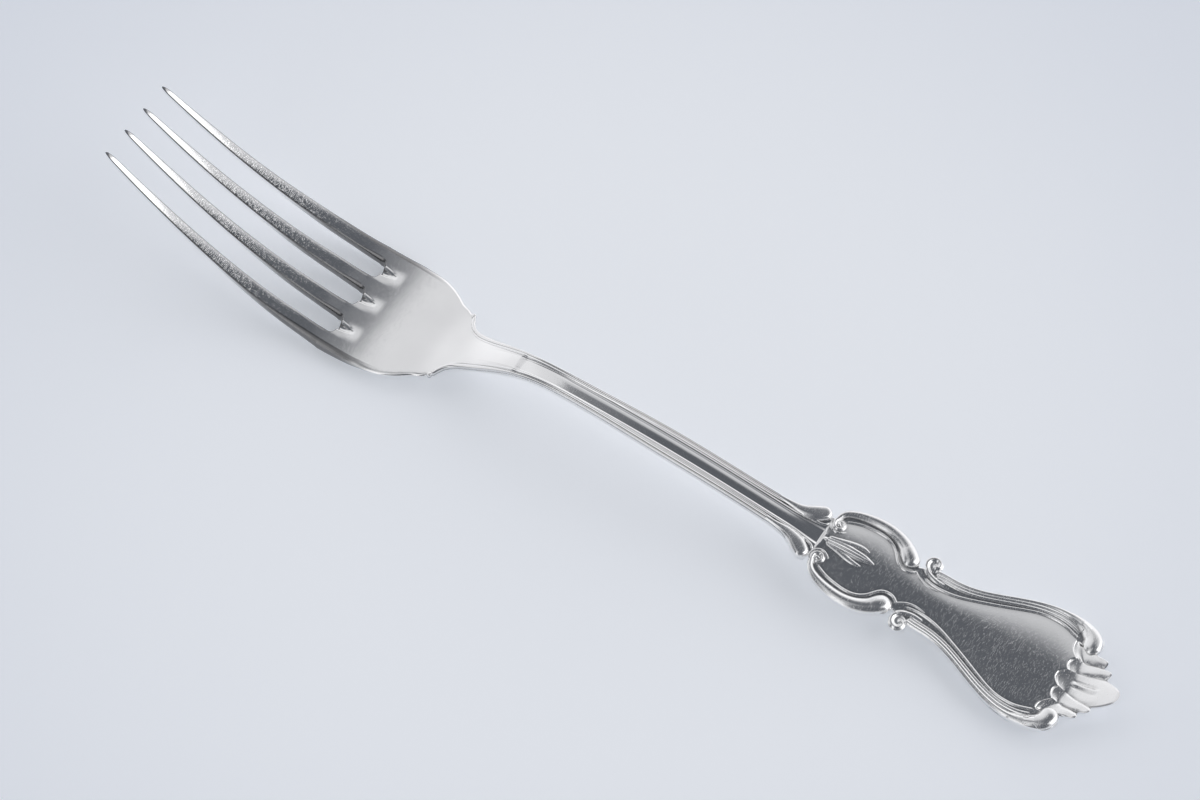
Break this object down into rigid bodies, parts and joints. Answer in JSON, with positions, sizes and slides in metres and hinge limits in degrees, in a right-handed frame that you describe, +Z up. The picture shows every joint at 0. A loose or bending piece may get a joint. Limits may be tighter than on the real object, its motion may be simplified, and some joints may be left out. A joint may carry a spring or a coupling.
{
  "type": "dinner fork",
  "caption": "Dinner fork with slender tines curving up from a flat palm, a reeded arched stem and a scroll-bordered handle ending in a shell.",
  "frame": {"origin": "middle of the fork's length and width, on the surface that it lies on", "axes": "+X from the shell end of the handle to the tips of the tines, +Y to the fork's left, +Z up from the table"},
  "size_m": [0.205, 0.0252, 0.0228],
  "materials": {
    "polished_silver": "polished silver, softly worn, with fine scratches"
  },
  "bodies": {
    "root": {"handle_plate": "polished_silver", "stem_foot": "polished_silver", "stem": "polished_silver", "neck": "polished_silver", "palm": "polished_silver", "tine_1": "polished_silver", "tine_2": "polished_silver", "tine_3": "polished_silver", "tine_4": "polished_silver", "shell_ray_centre": "polished_silver", "shell_ray_inner_left": "polished_silver", "shell_ray_inner_right": "polished_silver", "shell_ray_outer_left": "polished_silver", "shell_ray_outer_right": "polished_silver", "stem_reed_left": "polished_silver", "stem_reed_right": "polished_silver", "shoulder_thread_left": "polished_silver", "shoulder_thread_right": "polished_silver", "foot_lobe_left": "polished_silver", "foot_lobe_right": "polished_silver", "c_scroll_left": "polished_silver", "c_scroll_right": "polished_silver", "s_scroll_left": "polished_silver", "s_scroll_right": "polished_silver", "c_volute_left": "polished_silver", "c_volute_right": "polished_silver", "c_bulb_left": "polished_silver", "c_bulb_right": "polished_silver", "s_volute_left": "polished_silver", "s_volute_right": "polished_silver", "end_bulb_left": "polished_silver", "end_bulb_right": "polished_silver", "leaf_drop": "polished_silver"}
  },
  "joints": []
}
